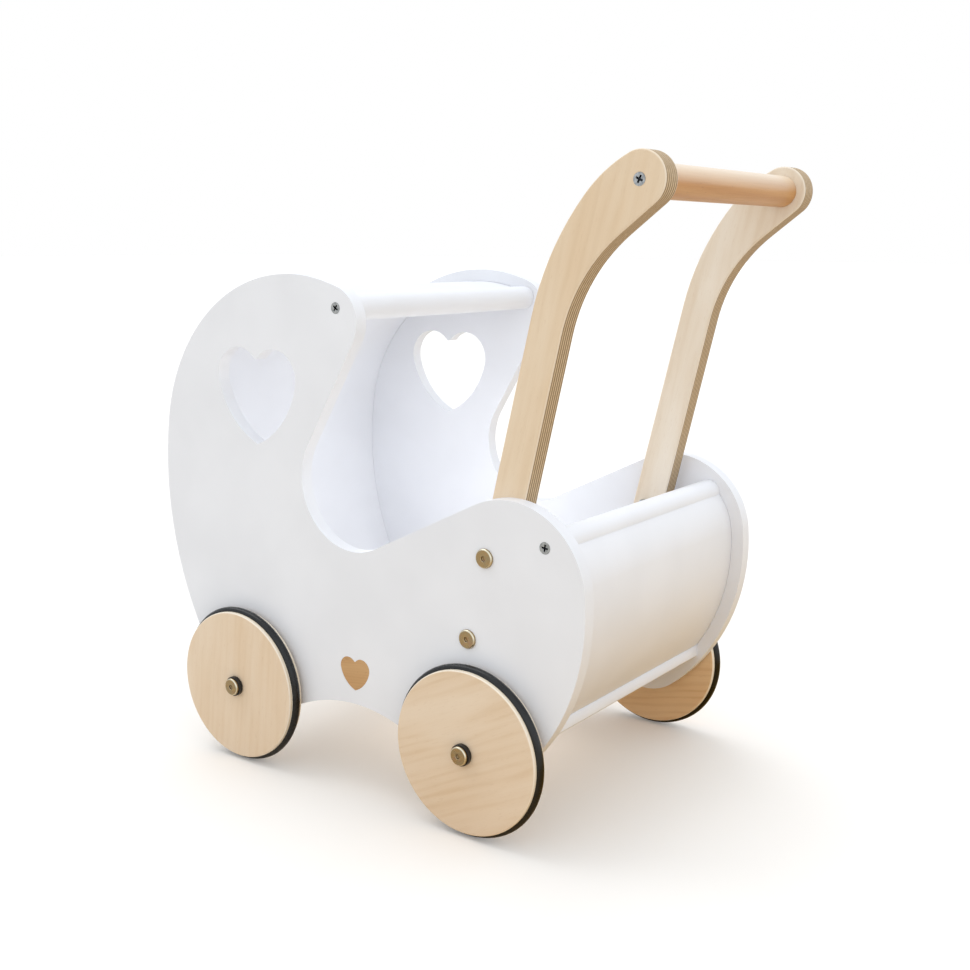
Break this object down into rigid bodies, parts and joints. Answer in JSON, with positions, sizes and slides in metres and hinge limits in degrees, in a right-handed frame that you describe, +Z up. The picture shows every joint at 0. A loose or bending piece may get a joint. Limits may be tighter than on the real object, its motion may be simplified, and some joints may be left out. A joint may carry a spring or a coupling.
{
  "type": "doll stroller",
  "caption": "Toddler's wooden doll pram: white heart-cut side panels, bent hood and foot shells, bare birch push handle, free-turning plywood disc wheels with rubber ring tyres.",
  "frame": {"origin": "on the ground, under the middle of the whole length, midway between the side panels", "axes": "+X towards the push handle, -X towards the hood (the way it is pushed), +Y to the stroller's right, +Z up"},
  "size_m": [0.5001, 0.3282, 0.522],
  "materials": {
    "white_paint": "satin white paint on plywood",
    "birch_ply": "bare sanded birch plywood with layered edges",
    "beech_dowel": "bare sanded hardwood dowel",
    "tyre_rubber": "smooth black rubber ring",
    "black_washer": "smooth black rubber",
    "yellow_zinc": "yellow-passivated zinc on steel",
    "bright_zinc": "bright zinc-plated steel",
    "nylon": "natural nylon"
  },
  "bodies": {
    "frame": {"side_panel_left": "white_paint", "side_panel_right": "white_paint", "hood_shell": "white_paint", "foot_shell": "white_paint", "floor_board": "white_paint", "floor_dowels_left": "beech_dowel", "floor_dowels_right": "beech_dowel", "hood_rail": "white_paint", "foot_rail": "white_paint", "handle_arm_left": "birch_ply", "handle_arm_right": "birch_ply", "handle_bar": "beech_dowel", "hood_rail_screws": "bright_zinc", "foot_rail_screws": "bright_zinc", "handle_screws": "bright_zinc", "arm_bolts_left": "yellow_zinc", "arm_bolts_right": "yellow_zinc", "arm_nuts_left": "bright_zinc", "arm_nuts_right": "bright_zinc", "heart_inlay": "birch_ply", "sleeve_front_left": "nylon", "sleeve_front_right": "nylon", "sleeve_rear_left": "nylon", "sleeve_rear_right": "nylon", "axle_bolt_front_left": "yellow_zinc", "axle_bolt_front_right": "yellow_zinc", "axle_bolt_rear_left": "yellow_zinc", "axle_bolt_rear_right": "yellow_zinc", "axle_nut_front_left": "bright_zinc", "axle_nut_front_right": "bright_zinc", "axle_nut_rear_left": "bright_zinc", "axle_nut_rear_right": "bright_zinc", "washer_front_left": "black_washer", "washer_front_right": "black_washer", "washer_rear_left": "black_washer", "washer_rear_right": "black_washer", "spacer_front_left": "bright_zinc", "spacer_front_right": "bright_zinc", "spacer_rear_left": "bright_zinc", "spacer_rear_right": "bright_zinc"},
    "wheel_front_left": {"wheel_front_left": "birch_ply", "tyre_front_left": "tyre_rubber"},
    "wheel_front_right": {"wheel_front_right": "birch_ply", "tyre_front_right": "tyre_rubber"},
    "wheel_rear_left": {"wheel_rear_left": "birch_ply", "tyre_rear_left": "tyre_rubber"},
    "wheel_rear_right": {"wheel_rear_right": "birch_ply", "tyre_rear_right": "tyre_rubber"}
  },
  "joints": [
    {"name": "wheel_front_left_spin", "type": "hinge", "parent": "frame", "child": "wheel_front_left", "pos_m": [-0.14891, -0.1498, 0.07], "axis": [0, 1, 0], "continuous": true},
    {"name": "wheel_front_right_spin", "type": "hinge", "parent": "frame", "child": "wheel_front_right", "pos_m": [-0.14891, 0.1498, 0.07], "axis": [0, 1, 0], "continuous": true},
    {"name": "wheel_rear_left_spin", "type": "hinge", "parent": "frame", "child": "wheel_rear_left", "pos_m": [0.10509, -0.1498, 0.07], "axis": [0, 1, 0], "continuous": true},
    {"name": "wheel_rear_right_spin", "type": "hinge", "parent": "frame", "child": "wheel_rear_right", "pos_m": [0.10509, 0.1498, 0.07], "axis": [0, 1, 0], "continuous": true}
  ]
}
